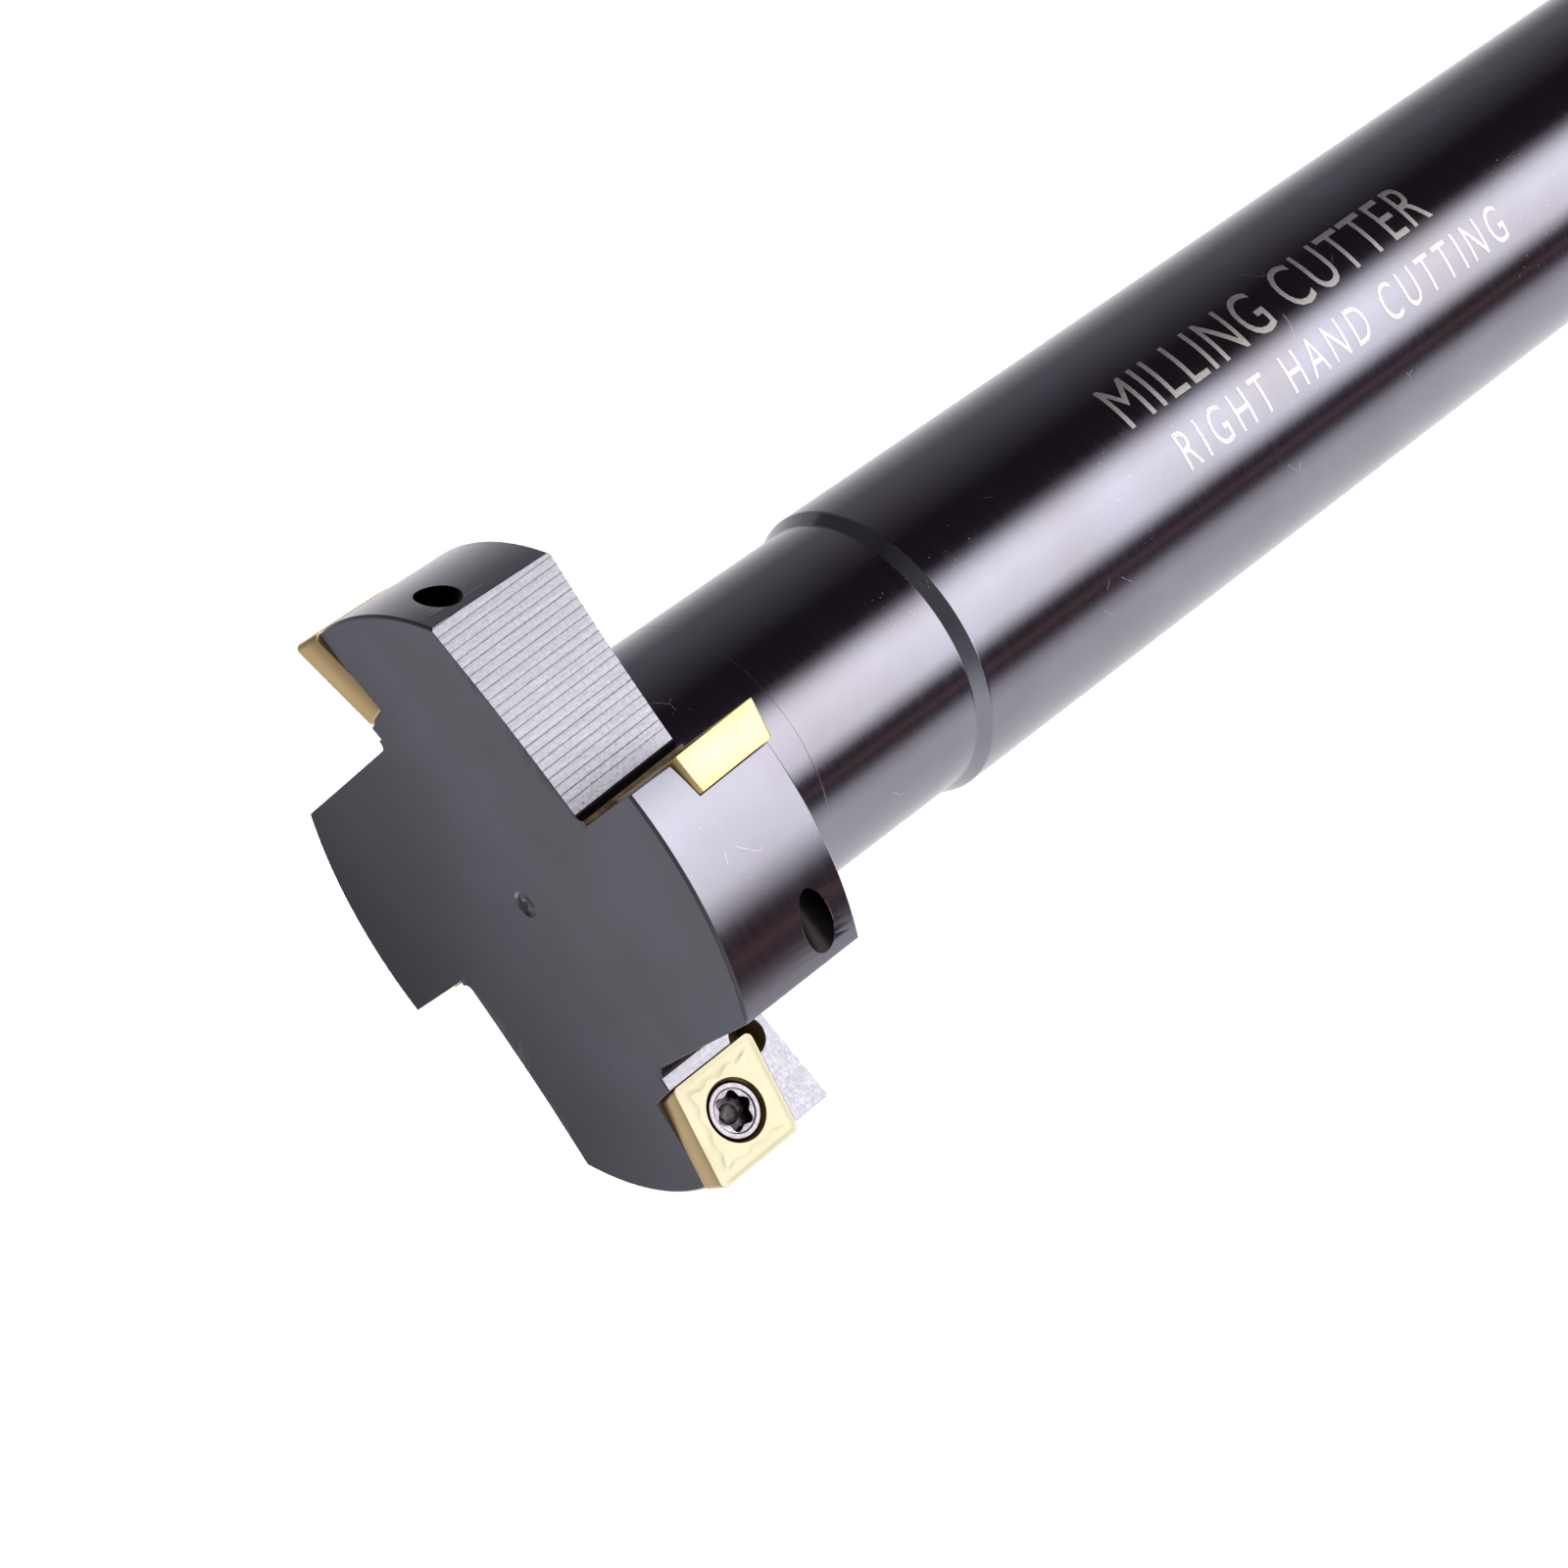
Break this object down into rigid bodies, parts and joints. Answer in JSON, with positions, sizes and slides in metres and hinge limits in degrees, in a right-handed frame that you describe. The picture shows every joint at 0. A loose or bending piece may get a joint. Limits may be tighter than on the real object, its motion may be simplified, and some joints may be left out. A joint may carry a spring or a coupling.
{
  "type": "indexable side and face milling cutter",
  "caption": "Shank-type disc milling cutter for side slots, with screwed-in rhombic inserts staggered between its two faces and a plain cylindrical shank.",
  "frame": {"origin": "centre of the flat end of the shank, on the tool's axis", "axes": "+Z along the tool's axis from the shank end to the cutting end; tooth 1's rake face looks along +Y and its cutting corner points along +X; the tool cuts turning counterclockwise seen from +Z"},
  "size_m": [0.0398, 0.0398, 0.16],
  "materials": {
    "blackened_steel": "gloss black oxide on turned and ground alloy steel, bare bright steel where the gullets and seats are milled",
    "gold_coating": "satin gold nitride coating on sintered carbide",
    "screw_steel": "dark tempered steel with a bright rim"
  },
  "bodies": {
    "cutter_body": {"cutter_body": "blackened_steel"},
    "insert_1": {"insert_1": "gold_coating"},
    "insert_screw_1": {"insert_screw_1": "screw_steel"},
    "insert_2": {"insert_2": "gold_coating"},
    "insert_screw_2": {"insert_screw_2": "screw_steel"},
    "insert_3": {"insert_3": "gold_coating"},
    "insert_screw_3": {"insert_screw_3": "screw_steel"},
    "insert_4": {"insert_4": "gold_coating"},
    "insert_screw_4": {"insert_screw_4": "screw_steel"}
  },
  "joints": [
    {"name": "insert_1_lift", "type": "slide", "parent": "cutter_body", "child": "insert_1", "axis": [0, 0.999, -0.0436], "range_m": [0, 0.0045]},
    {"name": "insert_screw_1_turn", "type": "hinge", "parent": "insert_1", "child": "insert_screw_1", "pos_m": [0.01671, -0.00044, 0.1564], "axis": [0, 0.999, -0.0436], "range_deg": [0, 3600]},
    {"name": "insert_2_lift", "type": "slide", "parent": "cutter_body", "child": "insert_2", "axis": [-0.999, 0, 0.0436], "range_m": [0, 0.0045]},
    {"name": "insert_screw_2_turn", "type": "hinge", "parent": "insert_2", "child": "insert_screw_2", "pos_m": [0.00044, 0.01671, 0.1536], "axis": [-0.999, 0, 0.0436], "range_deg": [0, 3600]},
    {"name": "insert_3_lift", "type": "slide", "parent": "cutter_body", "child": "insert_3", "axis": [0, -0.999, -0.0436], "range_m": [0, 0.0045]},
    {"name": "insert_screw_3_turn", "type": "hinge", "parent": "insert_3", "child": "insert_screw_3", "pos_m": [-0.01671, 0.00044, 0.1564], "axis": [0, -0.999, -0.0436], "range_deg": [0, 3600]},
    {"name": "insert_4_lift", "type": "slide", "parent": "cutter_body", "child": "insert_4", "axis": [0.999, 0, 0.0436], "range_m": [0, 0.0045]},
    {"name": "insert_screw_4_turn", "type": "hinge", "parent": "insert_4", "child": "insert_screw_4", "pos_m": [-0.00044, -0.01671, 0.1536], "axis": [0.999, 0, 0.0436], "range_deg": [0, 3600]}
  ],
  "couplings": [
    {"joint": "insert_screw_1_turn", "follows": "insert_1_lift", "rad_per_m": 13963},
    {"joint": "insert_screw_2_turn", "follows": "insert_2_lift", "rad_per_m": 13963},
    {"joint": "insert_screw_3_turn", "follows": "insert_3_lift", "rad_per_m": 13963},
    {"joint": "insert_screw_4_turn", "follows": "insert_4_lift", "rad_per_m": 13963}
  ]
}
